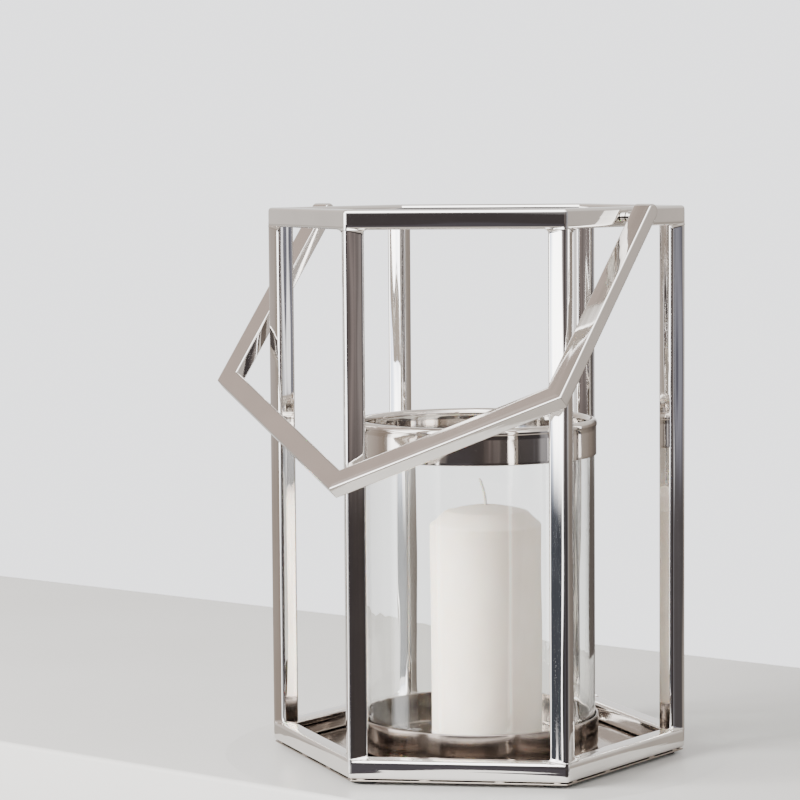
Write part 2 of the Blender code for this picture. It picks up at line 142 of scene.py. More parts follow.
THREAD_TURNS = 9
WICK_RADIUS = 0.0011
SEAM = 0.0003                 # gap between the band and the glass
ROUND_STEPS = 160

POST_SIDE = (POST_HALF_DIAGONAL + TUBE_EDGE * (math.sqrt(2) - 1)) * math.sqrt(2)
BAND_OUTER = GLASS_RADIUS + SEAM + BAND_SKIN
BAND_INNER = GLASS_RADIUS - GLASS_WALL - SEAM - BAND_SKIN
WICK_LEAN = Vector((WICK_TIP.x + WICK_RADIUS - CANDLE_X, WICK_TIP.y + WICK_RADIUS - CANDLE_Y))


def leg_axis():
    """Direction along the leg from the pivot, at rest, and the pivot to the leg's corner."""
    points = np.array([(v.co - PIVOT).yz for v in _leg])
    spread = np.cov((points - points.mean(0)).T)
    values, vectors = np.linalg.eigh(spread)
    along = vectors[:, 1] * (1 if vectors[:, 1] @ points.mean(0) > 0 else -1)
    reach = points @ along
    peak = max(np.array((v.co - PIVOT).yz) @ along for v in _roof)
    return Vector((0, along[0], along[1])), reach.max(), -reach.min(), peak


LEG_ALONG, LEG_REACH, TAIL_REACH, PEAK_REACH = leg_axis()


# ---------------------------------------------------------------- materials
def start_material(name, **values):
    """A Principled material; each value is set on the shader's own socket."""
    material = bpy.data.materials.new(name)
    material.use_nodes = True
    shader = material.node_tree.nodes["Principled BSDF"]
    for socket, value in values.items():
        shader.inputs[socket.replace("_", " ")].default_value = value
    return material, material.node_tree, shader


def add_node(tree, kind, inputs=(), **settings):
    """Adds a node; inputs maps socket names or numbers to a value or to another socket."""
    node = tree.nodes.new(kind)
    for key, value in settings.items():
        setattr(node, key, value)
    for key, value in dict(inputs).items():
        if isinstance(value, bpy.types.NodeSocket):
            tree.links.new(value, node.inputs[key])
        else:
            node.inputs[key].default_value = value
    return node


def stretched_noise(tree, source, stretch, scale, detail=2.0, roughness=0.5):
    """Noise over a scaled vector; source is a vector socket."""
    mapping = add_node(tree, "ShaderNodeMapping", {"Vector": source, "Scale": stretch})
    noise = add_node(tree, "ShaderNodeTexNoise", {
        "Vector": mapping.outputs["Vector"], "Scale": scale, "Detail": detail,
        "Roughness": roughness})
    return noise.outputs["Fac"]


def between(tree, factor, low, high):
    """Maps a factor of about 0.3 to 0.7 onto low to high."""
    node = add_node(tree, "ShaderNodeMapRange", {
        "Value": factor, "From Min": 0.3, "From Max": 0.7, "To Min": low, "To Max": high})
    return node.outputs["Result"]


def mirror_metal(name, colour, roughness, wave_height, streaks):
    """Polished nickel: long faint waves along the tube, and hazy polishing streaks."""
    material, tree, shader = start_material(name, Metallic=1.0)
    flow = add_node(tree, "ShaderNodeAttribute", attribute_name="flow").outputs["Vector"]
    place = add_node(tree, "ShaderNodeTexCoord").outputs["Object"]

    tint = between(tree, stretched_noise(tree, place, (1, 1, 1), 35, 3), 0.0, 1.0)
    darker = [c * 0.94 for c in colour[:3]] + [1]
    mix = add_node(tree, "ShaderNodeMix", {0: tint, 6: darker, 7: colour}, data_type="RGBA")
    tree.links.new(mix.outputs[2], shader.inputs["Base Color"])

    haze = stretched_noise(tree, flow, (900, 40, 1), 1.0, 3)
    smudge = stretched_noise(tree, place, (1, 1, 1), 28, 4, 0.6)
    hazy = add_node(tree, "ShaderNodeMath", {0: haze, 1: smudge}, operation="MULTIPLY")
    spread = add_node(tree, "ShaderNodeMapRange", {
        "Value": hazy.outputs[0], "From Min": 0.15, "From Max": 0.45,
        "To Min": roughness, "To Max": roughness + streaks})
    tree.links.new(spread.outputs["Result"], shader.inputs["Roughness"])

    waves = stretched_noise(tree, flow, (55, 9, 1), 1.0, 0.0)
    ripples = stretched_noise(tree, flow, (230, 11, 1), 1.0, 0.0)
    both = add_node(tree, "ShaderNodeMath", {0: ripples, 1: 0.3, 2: waves},
                    operation="MULTIPLY_ADD")
    bump = add_node(tree, "ShaderNodeBump", {
        "Height": both.outputs[0], "Distance": wave_height, "Strength": 1.0})
    tree.links.new(bump.outputs["Normal"], shader.inputs["Normal"])
    return material


def glass_material():
    """Clear glass with a faint waviness that runs up the cylinder."""
    material, tree, shader = start_material(
        "clear_glass", Base_Color=(0.99, 0.995, 0.98, 1), Roughness=0.0, IOR=1.47,
        Transmission_Weight=1.0)
    flow = add_node(tree, "ShaderNodeAttribute", attribute_name="flow").outputs["Vector"]
    draw_lines = stretched_noise(tree, flow, (110, 8, 1), 1.0, 1.0)
    bump = add_node(tree, "ShaderNodeBump", {
        "Height": draw_lines, "Distance": 0.0005, "Strength": 0.18})
    tree.links.new(bump.outputs["Normal"], shader.inputs["Normal"])
    clear = add_node(tree, "ShaderNodeBsdfTransparent", {"Color": (0.93, 0.95, 0.94, 1)})
    path = add_node(tree, "ShaderNodeLightPath")
    lit_through = add_node(tree, "ShaderNodeMixShader", {
        0: path.outputs["Is Shadow Ray"], 1: shader.outputs[0], 2: clear.outputs[0]})
    tree.links.new(lit_through.outputs[0], tree.nodes["Material Output"].inputs["Surface"])
    return material


def wax_material():
    """Ivory wax: satin, slightly see-through, faintly mottled."""
    material, tree, shader = start_material(
        "ivory_wax", Subsurface_Weight=0.45, Subsurface_Radius=(0.9, 0.62, 0.40),
        Subsurface_Scale=0.012, IOR=1.44, Coat_Weight=0.08, Coat_Roughness=0.35)
    place = add_node(tree, "ShaderNodeTexCoord").outputs["Object"]
    mottle = between(tree, stretched_noise(tree, place, (1, 1, 0.6), 70, 5, 0.6), 0.0, 1.0)
    mix = add_node(tree, "ShaderNodeMix", {
        0: mottle, 6: (0.86, 0.75, 0.655, 1), 7: (0.93, 0.825, 0.745, 1)}, data_type="RGBA")
    tree.links.new(mix.outputs[2], shader.inputs["Base Color"])
    satin = between(tree, stretched_noise(tree, place, (1, 1, 0.3), 160, 3), 0.38, 0.52)
    tree.links.new(satin, shader.inputs["Roughness"])
    grain = stretched_noise(tree, place, (1, 1, 0.25), 900, 3, 0.6)
    bump = add_node(tree, "ShaderNodeBump", {
        "Height": grain, "Distance": 0.00006, "Strength": 0.5})
    tree.links.new(bump.outputs["Normal"], shader.inputs["Normal"])
    return material


def cotton_material():
    """Waxed cream cotton with fine fibres along the strands."""
    material, tree, shader = start_material(
        "cotton", Roughness=0.85, Subsurface_Weight=0.5, Subsurface_Scale=0.002,
        Sheen_Weight=0.3)
    flow = add_node(tree, "ShaderNodeAttribute", attribute_name="flow").outputs["Vector"]
    fibres = stretched_noise(tree, flow, (9000, 900, 1), 1.0, 4)
    mix = add_node(tree, "ShaderNodeMix", {
        0: between(tree, fibres, 0, 1), 6: (0.88, 0.83, 0.75, 1), 7: (0.97, 0.94, 0.89, 1)},
        data_type="RGBA")
    tree.links.new(mix.outputs[2], shader.inputs["Base Color"])
    bump = add_node(tree, "ShaderNodeBump", {
        "Height": fibres, "Distance": 0.00005, "Strength": 0.3})
    tree.links.new(bump.outputs["Normal"], shader.inputs["Normal"])
    return material


def rubber_material():
    """Black rubber with a fine moulded grain."""
    material, tree, shader = start_material("dark_rubber", IOR=1.5)
    place = add_node(tree, "ShaderNodeTexCoord").outputs["Object"]
    grain = stretched_noise(tree, place, (1, 1, 1), 1800, 3)
    mix = add_node(tree, "ShaderNodeMix", {
        0: between(tree, grain, 0, 1), 6: (0.012, 0.012, 0.013, 1), 7: (0.03, 0.03, 0.03, 1)},
        data_type="RGBA")
    tree.links.new(mix.outputs[2], shader.inputs["Base Color"])
    tree.links.new(between(tree, grain, 0.55, 0.8), shader.inputs["Roughness"])
    bump = add_node(tree, "ShaderNodeBump", {
        "Height": grain, "Distance": 0.0001, "Strength": 0.4})
    tree.links.new(bump.outputs["Normal"], shader.inputs["Normal"])
    return material


NICKEL = mirror_metal("polished_nickel", (0.87, 0.845, 0.82, 1), 0.022, 0.0005, 0.05)
HANDLE_NICKEL = mirror_metal("handle_nickel", (0.85, 0.82, 0.79, 1), 0.045, 0.0003, 0.08)
# base sheet and tack welds: nickel darkened far below polished nickel, painted shade for where
# they sit under the bottom ring
SHADED_SHEET_NICKEL = mirror_metal("nickel_sheet", (0.36, 0.32, 0.285, 1), 0.07, 0.0002, 0.10)
# cup: nickel darkened, painted shade that dims what its wall mirrors inside the lantern
SHADED_CUP_NICKEL = mirror_metal("cup_nickel_painted_shade", (0.35, 0.305, 0.275, 1), 0.13, 0.0003, 0.06)
BAND_NICKEL = mirror_metal("band_nickel", (0.74, 0.69, 0.645, 1), 0.05, 0.0003, 0.06)
GLASS = glass_material()
WAX = wax_material()
COTTON = cotton_material()
RUBBER = rubber_material()


# ---------------------------------------------------------------- mesh helpers
def arc(centre, radius, start, end, steps):
    """Points on an arc, both ends included."""
    return [(centre[0] + radius * math.cos(start + (end - start) * i / steps),
             centre[1] + radius * math.sin(start + (end - start) * i / steps))
            for i in range(steps + 1)]


def lerp(a, b, share):
    return a + (b - a) * share


def make_piece(name, rows, material, body, replaced=(), closed=False, ends=True,
               sharp=math.radians(38), weighted=True, weld=False, turned=False):
    """A mesh from rows of points: each row is a closed loop, and rows join in order.

    flow holds (distance across, distance lengthwise) at each corner: lengthwise is from row
    to row, or round the loop for a turned shape.
    """
    bm = bmesh.new()
    flow = bm.loops.layers.float_vector.new("flow")
    verts = [[bm.verts.new(p) for p in row] for row in rows]
    count = len(rows[0])
    middle = len(rows) // 2
    around = [0.0]
    for j in range(count):
        step = (Vector(rows[middle][(j + 1) % count]) - Vector(rows[middle][j])).length
        around.append(around[-1] + step)
    along = [0.0]
    for i in range(len(rows)):
        following = rows[(i + 1) % len(rows)]
        step = max((Vector(b) - Vector(a)).length for a, b in zip(rows[i], following))
        along.append(along[-1] + step)
    for i in range(len(rows) if closed else len(rows) - 1):
        k = (i + 1) % len(rows)
        for j in range(count):
            m = (j + 1) % count
            face = bm.faces.new((verts[i][j], verts[i][m], verts[k][m], verts[k][j]))
            marks = ((j, i), (j + 1, i), (j + 1, i + 1), (j, i + 1))
            for loop, (a, b) in zip(face.loops, marks):
                across, lengthwise = (along[b], around[a]) if turned else (around[a], along[b])
                loop[flow] = (across, lengthwise, 0)
    if ends and not closed:
        bm.faces.new(verts[0])
        bm.faces.new(verts[-1])
    if weld:
        bmesh.ops.remove_doubles(bm, verts=bm.verts, dist=1e-6)
        bmesh.ops.dissolve_degenerate(bm, edges=bm.edges, dist=1e-7)
    finish_piece(name, bm, material, body, replaced, sharp, weighted)


def finish_piece(name, bm, material, body, replaced=(), sharp=math.radians(38),
                 weighted=True):
    """Closes off a bmesh as a smooth-shaded object that rides on a body."""
    bmesh.ops.recalc_face_normals(bm, faces=bm.faces)
    if bm.calc_volume(signed=True) < 0:
        bmesh.ops.reverse_faces(bm, faces=bm.faces)
    mesh = bpy.data.meshes.new(name)
    bm.to_mesh(mesh)
    bm.free()
    mesh.materials.append(material)
    mesh.shade_smooth()
    mesh.set_sharp_from_angle(angle=sharp)
    obj = bpy.data.objects.new(name, mesh)
    bpy.context.scene.collection.objects.link(obj)
    if weighted:
        modifier = obj.modifiers.new("face_weighted_normals", "WEIGHTED_NORMAL")
        modifier.mode = "FACE_AREA"
        modifier.keep_sharp = True
    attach(obj, body)
    if replaced:
        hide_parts(*replaced)


def bar_outline(width, height, edge, crown, edge_steps=5, face_steps=2):
    """Section of a bar or tube: edges of one radius between faces that bulge a little."""
    sin, cos = math.sin(crown), math.cos(crown)
    edge_reach = edge * (cos - sin)
    sums = np.array([[sin, 1 - cos], [1 - cos, sin]])
    radius_x, radius_y = np.linalg.solve(
        sums, (height / 2 - edge_reach, width / 2 - edge_reach))
    points = []
    for quarter in range(4):
        side = radius_x if quarter % 2 == 0 else radius_y
        top = radius_y if quarter % 2 == 0 else radius_x
        half = width / 2 if quarter % 2 == 0 else height / 2
        local = arc((half - side, 0), side, 0, crown, face_steps)
        ex, ey = local[-1]
        bend = (ex - edge * cos, ey - edge * sin)
        local += arc(bend, edge, crown, math.pi / 2 - crown, edge_steps)[1:]
        other = height / 2 if quarter % 2 == 0 else width / 2
        local += arc((0, other - top), top, math.pi / 2 - crown, math.pi / 2, face_steps)[1:-1]
        for x, y in local:
            for _ in range(quarter):
                x, y = -y, x
            points.append((x, y))
    return points


def offset_corner(point, before, after, offset, radius, steps):
    """A path's corner moved sideways by offset (+ is to the right), rounded by radius."""
    right_before = Vector((before.y, -before.x))
    right_after = Vector((after.y, -after.x))
    corner = point + (right_before + right_after) * offset / (1 + right_before.dot(right_after))
    turn = before.angle_signed(after)             # + is clockwise
    tangent = radius * math.tan(abs(turn) / 2)
    start = corner - before * tangent
    side = right_before if turn > 0 else -right_before
    centre = start + side * radius
    spoke = start - centre
    points = []
    for i in range(steps + 1):
        angle = -turn * i / steps
        points.append(centre + Matrix.Rotation(angle, 2) @ spoke)
    return points


# ---------------------------------------------------------------- welded frame
def ring_rows(low_z):
    """Rows of a hexagonal ring of square tube, its corners rounded like its edges."""
    outline = bar_outline(TUBE, TUBE, TUBE_EDGE, TUBE_CROWN)
    steps = 6
    centre_radius = (APOTHEM - TUBE / 2) / math.cos(HALF_SIDE)
    centres = [Vector((centre_radius * math.cos(a), centre_radius * math.sin(a)))
               for a in CORNER_ANGLES]
    rows = [[] for _ in range(SIDES * (steps + 1))]
    for across, up in outline:
        radius = max(CORNER_EDGE - (TUBE / 2 - across), LEAST_RADIUS)
        for i in range(SIDES):
            before = (centres[i] - centres[i - 1]).normalized()
            after = (centres[(i + 1) % SIDES] - centres[i]).normalized()
            for k, p in enumerate(offset_corner(centres[i], before, after, across, radius,
                                                steps)):
                rows[i * (steps + 1) + k].append((p.x, p.y + AXIS_Y, low_z + TUBE / 2 + up))
    return rows


def room_outwards(x, y, nx, ny, corner_angle):
    """Distance from a point along its outward normal to the nearest edge of the ring."""
    room = 1.0
    grazing = 0.05                                # so nearly along a face as never to meet it
    for side in (-HALF_SIDE, HALF_SIDE):
        face = (math.cos(corner_angle + side), math.sin(corner_angle + side))
        towards = nx * face[0] + ny * face[1]
        depth = APOTHEM - (x * face[0] + y * face[1])
        if towards > grazing:
            room = min(room, max(depth, 0) / towards)
        if towards < -grazing:
            room = min(room, max(TUBE - depth, 0) / -towards)
    return room


def post_rows(corner_angle):
    """Rows of a post from ring to ring, flared at both ends by its ground weld."""
    outline = bar_outline(POST_SIDE, POST_SIDE, TUBE_EDGE, TUBE_CROWN)
    turn = corner_angle + math.pi / 4
    fillet_steps = 8
    least_room = 0.0004                           # less than this counts as flush with the ring
    least_fillet = 0.0002
    lower, upper = FRAME_BOTTOM + TUBE, FRAME_TOP - TUBE
    heights = [-0.0032, -0.0022, -0.0012]         # rows sunk in the ring
    heights += [WELD_FILLET * (1 - math.cos(math.pi / 2 * i / fillet_steps)) for i in
                range(fillet_steps + 1)]
    columns = []
    for j, (x, y) in enumerate(outline):
        ahead, behind = outline[(j + 1) % len(outline)], outline[j - 1]
        tangent = Vector((ahead[0] - behind[0], ahead[1] - behind[1])).normalized()
        place = Matrix.Rotation(turn, 2) @ Vector((x, y))
        place += Vector((math.cos(corner_angle), math.sin(corner_angle))) * POST_DISTANCE
        normal = Matrix.Rotation(turn, 2) @ Vector((tangent.y, -tangent.x))
        room = room_outwards(place.x, place.y, normal.x, normal.y, corner_angle)
        radius = min(WELD_FILLET, room * 0.9)
        offsets = []
        for h in heights:
            if h < 0:
                poking = room < least_room and place.length < POST_DISTANCE
                offsets.append(h if poking else 0.0)
            elif radius > least_fillet:
                share = min(h / radius, 1)
                offsets.append(radius - math.sqrt(max(radius ** 2 - (radius * (1 - share)) ** 2,
                                                      0)))
            else:
                offsets.append(0.0)
        columns.append((place, normal, offsets))
    rows = []
    for index, h in enumerate(heights):
        rows.append([(*(p + n * o[index]), lower + h) for p, n, o in columns])
    middle_steps = 12
    for i in range(1, middle_steps):
        z = lerp(lower + WELD_FILLET, upper - WELD_FILLET, i / middle_steps)
        rows.append([(*p, z) for p, n, o in columns])
    for index, h in reversed(list(enumerate(heights))):
        rows.append([(*(p + n * o[index]), upper - h) for p, n, o in columns])
    return [[(x, y + AXIS_Y, z) for x, y, z in row] for row in rows]


def make_frame():
    for prefix, low_z in (("bottom", FRAME_BOTTOM), ("top", FRAME_TOP - TUBE)):
        make_piece(f"{prefix}_ring", ring_rows(low_z), NICKEL, "frame",
                   [f"{prefix}_rail_{i + 1}" for i in range(SIDES)], closed=True)
    for i, angle in enumerate(CORNER_ANGLES):
        make_piece(f"upright_{i + 1}", post_rows(angle), NICKEL, "frame",
                   [f"post_{i + 1}"], sharp=math.radians(60))


# ---------------------------------------------------------------- plate, tack welds, feet
def make_plate():
    """Base sheet with rolled edges and clipped corners."""
    thickness = PLATE_TOP - PLATE_BOTTOM
    edge = thickness * 0.4
    clip = 0.0022                                 # radius at the plate's corners
    margin = 0.004                                # flat strip kept inside the rolled edge
    corners = [Vector((PLATE_RADIUS * math.cos(a), PLATE_RADIUS * math.sin(a)))
               for a in CORNER_ANGLES]
    profile = [(-margin, 0), (-edge, 0)]
    profile += arc((-edge, edge), edge, -math.pi / 2, 0, 3)[1:]
    profile += arc((-edge, thickness - edge), edge, 0, math.pi / 2, 3)
    profile += [(-margin, thickness)]
    rows = []
    for across, up in profile:
        row = []
        for i in range(SIDES):
            before = (corners[i] - corners[i - 1]).normalized()
            after = (corners[(i + 1) % SIDES] - corners[i]).normalized()
            for p in offset_corner(corners[i], before, after, across, clip, 4):
                row.append((p.x, p.y + AXIS_Y, PLATE_BOTTOM + up))
        rows.append(row)
    # the sheet's dark colour is painted shade
    make_piece("base_sheet", rows, SHADED_SHEET_NICKEL, "frame", ["base_plate"])


def make_tacks():
    """Small ground tack welds in the gap between the base sheet and the bottom ring."""
    generator = random.Random(7)
    inset, half_width, half_height = 0.0018, 0.0010, 0.0007
    bm = bmesh.new()
    bm.loops.layers.float_vector.new("flow")
    for angle in FLAT_ANGLES:
        outward = Vector((math.cos(angle), math.sin(angle), 0))
        sideways = Vector((-outward.y, outward.x, 0))
        for share in (-0.42, -0.12, 0.2, 0.45):
            length = generator.uniform(0.0022, 0.0042)
            place = outward * (APOTHEM - inset) + sideways * (
                share + generator.uniform(-0.04, 0.04)) * RING_CORNER
            place.z = (PLATE_TOP + FRAME_BOTTOM) / 2
            place.y += AXIS_Y
            turn = Matrix((sideways, outward, Vector((0, 0, 1)))).transposed().to_4x4()
            size = Matrix.Diagonal((length, half_width, half_height, 1))
            bmesh.ops.create_icosphere(bm, subdivisions=3, radius=1,
                                       matrix=Matrix.Translation(place) @ turn @ size)
    # the tacks share the sheet's dark colour, painted shade in the gap under the ring
    finish_piece("tack_welds", bm, SHADED_SHEET_NICKEL, "frame", weighted=False)


def turned_rows(profile, steps=ROUND_STEPS):
    """Rows for a turned shape about the Z axis: one row for each angle."""
    rows = []
    for i in range(steps):
        angle = 2 * math.pi * i / steps
        rows.append([(r * math.cos(angle), r * math.sin(angle), z) for r, z in profile])
    return rows


def turned_piece(name, profile, material, body, replaced, place, steps=ROUND_STEPS,
                 sharp=math.radians(50), shift=None):
    """A turned shape; shift may move each point."""
    rows = turned_rows(profile, steps)
    if shift:
        rows = [[shift(*p) for p in row] for row in rows]
    rows = [[(x + place[0], y + place[1], z) for x, y, z in row] for row in rows]
    make_piece(name, rows, material, body, replaced, closed=True, sharp=sharp, weld=True,
               turned=True)


def make_feet():
    """Round pads with soft edges and a shallow ring moulded underneath."""
    edge = 0.0005
    recess = 0.0002
    r, h = FOOT_RADIUS, FOOT_HEIGHT
    profile = [(0, recess), (r * 0.45, recess), (r * 0.5, 0)]
    profile += arc((r - edge, edge), edge, -math.pi / 2, 0, 4)
    profile += arc((r - edge, h - edge), edge, 0, math.pi / 2, 4)
    profile += [(0, h)]
    for i, angle in enumerate(CORNER_ANGLES):
        place = (FOOT_DISTANCE * math.cos(angle), FOOT_DISTANCE * math.sin(angle) + AXIS_Y)
        turned_piece(f"foot_pad_{i + 1}", profile, RUBBER, "frame",
                     [f"foot_{i + 1}"], place, 48)


# ---------------------------------------------------------------- cup, glass, band
def make_cup():
    """Spun dish: a floor, a curved corner and a hemmed rim."""
    corner = 0.0025
    hem = 0.0007
    flat = 0.006                                  # the walls are straight from here to the hem
    outer = CUP_RADIUS
    inner = outer - SHEET
    floor = CUP_BOTTOM + SHEET
    profile = [(0, CUP_BOTTOM)]
    profile += arc((outer - corner, CUP_BOTTOM + corner), corner, -math.pi / 2, 0, 8)
    profile += [(outer, CUP_TOP - flat), (outer, CUP_TOP - flat / 2)]
    profile += arc((outer - hem, CUP_TOP - hem), hem, 0, math.pi, 8)
    profile += [(inner, CUP_TOP - 0.0025), (inner, CUP_TOP - flat)]
    profile += arc((outer - corner, CUP_BOTTOM + corner), corner - SHEET, 0, -math.pi / 2, 6)
    profile += [(inner * 0.9, floor), (0, floor)]
    # the cup's dark colour is painted shade
    turned_piece("cup_shell", profile, SHADED_CUP_NICKEL, "frame", ["glass_cup"],
                 (0, AXIS_Y))


def make_glass():
    """Cylinder with fire-polished ends, its inside a hair out of round."""
    edge = 0.0009
    inner = GLASS_RADIUS - GLASS_WALL
    profile = []
    for r, z, start in ((GLASS_RADIUS - edge, GLASS_BOTTOM + edge, -math.pi / 2),
                        (GLASS_RADIUS - edge, GLASS_TOP - edge, 0),
                        (inner + edge, GLASS_TOP - edge, math.pi / 2),
                        (inner + edge, GLASS_BOTTOM + edge, math.pi)):
        profile += arc((r, z), edge, start, start + math.pi / 2, 5)

    def uneven(x, y, z):
        radius = math.hypot(x, y)
        if radius > GLASS_RADIUS - GLASS_WALL / 2:
            return x, y, z
        angle = math.atan2(y, x)
        drift = 0.00005 * math.sin(5 * angle + 0.7) + 0.00003 * math.sin(11 * angle)
        return x * (1 + drift / radius), y * (1 + drift / radius), z

    turned_piece("glass_tube", profile, GLASS, "glass", ["glass_cylinder"],
                 (0, AXIS_Y), 192, shift=uneven)


def make_band():
    """Sheet channel over the glass's rim: rolled bead on top, hemmed lower edges."""
    skin = BAND_SKIN
    outer, inner = BAND_OUTER, BAND_INNER
    middle = (outer + inner) / 2
    bead = BEAD_OUTER - middle
    centre = (middle, BAND_TOP - bead)
    turn_in = math.acos((outer - middle) / bead)
    hem = skin / 2
    low, high = BAND_BOTTOM + 0.002, centre[1] - 0.004  # the skins are straight between these
    profile = arc((outer - hem, BAND_BOTTOM + hem), hem, -math.pi, 0, 6)
    profile += [(outer, low), (outer, high)]
    profile += arc(centre, bead, -turn_in, math.pi + turn_in, 18)
    profile += [(inner, high), (inner, low)]
    profile += arc((inner + hem, BAND_BOTTOM + hem), hem, -math.pi, 0, 6)
    profile += [(inner + skin, GLASS_TOP + SEAM), (outer - skin, GLASS_TOP + SEAM)]
    turned_piece("band_shell", profile, BAND_NICKEL, "glass", ["rim_band"],
                 (0, AXIS_Y), 192)


# ---------------------------------------------------------------- candle and wick
def make_candle():
    """Pillar with a softly domed, chamfered top that dips to the wick."""
    r = CANDLE_RADIUS
    edge = 0.0009
    shoulder = CANDLE_TOP - 0.012
    crown = (r - 0.009, shoulder + 0.008)
    hole = 0.0015
    profile = [(hole, CANDLE_BOTTOM)]
    profile += arc((r - edge, CANDLE_BOTTOM + edge), edge, -math.pi / 2, 0, 4)
    profile += [(r, lerp(CANDLE_BOTTOM, shoulder, i / 24)) for i in range(1, 24)]
    slope = math.atan2(crown[1] - shoulder, r - crown[0])
    bend = 0.0030
    setback = bend * math.tan((math.pi / 2 - slope) / 2)
    profile += arc((r - bend, shoulder - setback), bend, 0, math.pi / 2 - slope, 5)
    profile += [(lerp(r, crown[0], 0.5), lerp(shoulder, crown[1], 0.5))]
    for share in (0, 0.08, 0.18, 0.3, 0.45, 0.6, 0.75, 0.86, 0.93):
        rise = math.sin(share * math.pi / 2)
        profile.append((crown[0] * (1 - share), lerp(crown[1], CANDLE_TOP, rise)))
    profile += [(hole * 1.6, CANDLE_TOP - 0.0002), (hole, CANDLE_TOP - 0.0008)]

    def hand_poured(x, y, z):
        angle = math.atan2(y, x)
        sink = 0.00012 * (1 + math.sin(3 * angle + 40 * z)) + 0.00008 * (
            1 + math.sin(7 * angle - 90 * z + 1.3))
        radius = max(math.hypot(x, y), 1e-6)
        share = 0 if radius < hole * 2 else sink / radius
        return x * (1 - share), y * (1 - share), z

    turned_piece("candle_wax", profile, WAX, "candle", ["candle"],
                 (CANDLE_X, CANDLE_Y), 128, shift=hand_poured)


def make_wick():
    """Three-strand cotton wick, straight in the wax and leaning above it."""
    points_along, points_around = 84, 36
    rise = WICK_TIP.z - CANDLE_TOP
    below = 0.012                                 # length that starts inside the wax
    twist = 900                                   # radians of strand turn for each metre
    rows = []
    for i in range(points_along + 1):
        length = (below + rise) * i / points_along
        z = CANDLE_TOP - below + length
        share = max(z - CANDLE_TOP, 0) / rise
        sideways = WICK_LEAN * share ** 2
        centre = Vector((CANDLE_X + sideways.x, CANDLE_Y + sideways.y, z))
        slope = WICK_LEAN * 2 * share / rise
        up = Vector((slope.x, slope.y, 1)).normalized()
        across = up.cross(Vector((0, 1, 0))).normalized()
        away = across.cross(up)
        taper = 1 - 0.55 * max(share - 0.88, 0) / 0.12
        row = []
        for j in range(points_around):
            angle = 2 * math.pi * j / points_around
            strand = abs(math.cos(1.5 * (angle - length * twist)))
            radius = WICK_RADIUS * (0.66 + 0.32 * strand) * taper
            row.append(centre + (across * math.cos(angle) + away * math.sin(angle)) * radius)
        rows.append(row)
    make_piece("wick_braid", rows, COTTON, "candle", ["wick"], weighted=False,
               sharp=math.radians(70))


# ---------------------------------------------------------------- handle and its pivots
def make_handle():
    """One welded bail: two legs with half-round tails and two roof bars, mitred."""
    width = LEG_OUTER_X - LEG_INNER_X
    tail = TAIL_REACH - BAR_THICKNESS / 2
    centre_x = (LEG_OUTER_X + LEG_INNER_X) / 2
    corner = LEG_REACH + width / 2 * math.tan(ROOF_PITCH) - width / 2 / math.cos(ROOF_PITCH)
    peak = PEAK_REACH - width / 2 / math.cos(ROOF_PITCH)
    path = [Vector((-centre_x, -tail)), Vector((-centre_x, corner)), Vector((0, peak)),
            Vector((centre_x, corner)), Vector((centre_x, -tail))]
    outline = bar_outline(width, BAR_THICKNESS, BAR_EDGE, BAR_CROWN)
    across_dir = Vector((1, 0, 0))
    thick_dir = across_dir.cross(LEG_ALONG)
    corner_steps, tail_steps, leg_steps = 5, 12, 10

    def place(flat, thick):
        return PIVOT + across_dir * flat.x + LEG_ALONG * flat.y + thick_dir * thick

    columns = []
    for across, thick in outline:
        offset = -across                          # outwards is to the left of this path
        radius = max(BAR_EDGE - (width / 2 - across), LEAST_RADIUS)
        flats = []
        for i in (1, 2, 3):
            before = (path[i] - path[i - 1]).normalized()
            after = (path[i + 1] - path[i]).normalized()
            flats.append(offset_corner(path[i], before, after, offset, radius, corner_steps))
        left_x, right_x = -centre_x - across, centre_x + across
        column = []
        for i in range(tail_steps, 0, -1):
            turn = math.pi / 2 * i / tail_steps
            column.append((Vector((left_x, -tail - abs(thick) * math.sin(turn))),
                           thick * math.cos(turn)))
        for i in range(leg_steps):
            y = lerp(-tail, flats[0][0].y, i / leg_steps)
            column.append((Vector((left_x, y)), thick))
        for k, group in enumerate(flats):
            column += [(p, thick) for p in group]
            if k < 2:
                column += [(group[-1].lerp(flats[k + 1][0], i / leg_steps), thick)
                           for i in range(1, leg_steps)]
        for i in range(1, leg_steps + 1):
            y = lerp(flats[2][-1].y, -tail, i / leg_steps)
            column.append((Vector((right_x, y)), thick))
        for i in range(1, tail_steps + 1):
            turn = math.pi / 2 * i / tail_steps
            column.append((Vector((right_x, -tail - abs(thick) * math.sin(turn))),
                           thick * math.cos(turn)))
        columns.append([place(flat, t) for flat, t in column])
    rows = [list(row) for row in zip(*columns)]
    make_piece("bail_handle", rows, HANDLE_NICKEL, "handle",
               ["handle_leg_right", "handle_leg_left", "handle_roof_right", "handle_roof_left"],
               ends=False, weld=True)


def along_x(name, profile, side, body, replaced, steps=64, sides_of_nut=None):
    """A turned shape about the pivot axis; profile is (x, radius) from the middle outwards."""
    rows = []
    for i in range(steps):
        angle = 2 * math.pi * i / steps
        row = []
        for x, radius in profile:
            if sides_of_nut and radius > sides_of_nut / 2 * 0.999:
                local = (angle + math.pi / 6) % (math.pi / 3) - math.pi / 6
                radius = min(radius, sides_of_nut / 2 / math.cos(local))
            row.append(PIVOT + Vector((side * x, radius * math.cos(angle),
                                       radius * math.sin(angle))))
        rows.append(row)
    make_piece(name, rows, NICKEL, body, replaced, closed=True, weld=True,
               sharp=math.radians(35), turned=True)


def rounded_disc(start, end, inner, outer, edge):
    """Closed (x, radius) profile of a washer or sleeve with rounded outer rims."""
    profile = [(start, inner)]
    profile += arc((start + edge, outer - edge), edge, math.pi, math.pi / 2, 3)
    profile += arc((end - edge, outer - edge), edge, math.pi / 2, 0, 3)
    profile += [(end, inner)]
    return profile


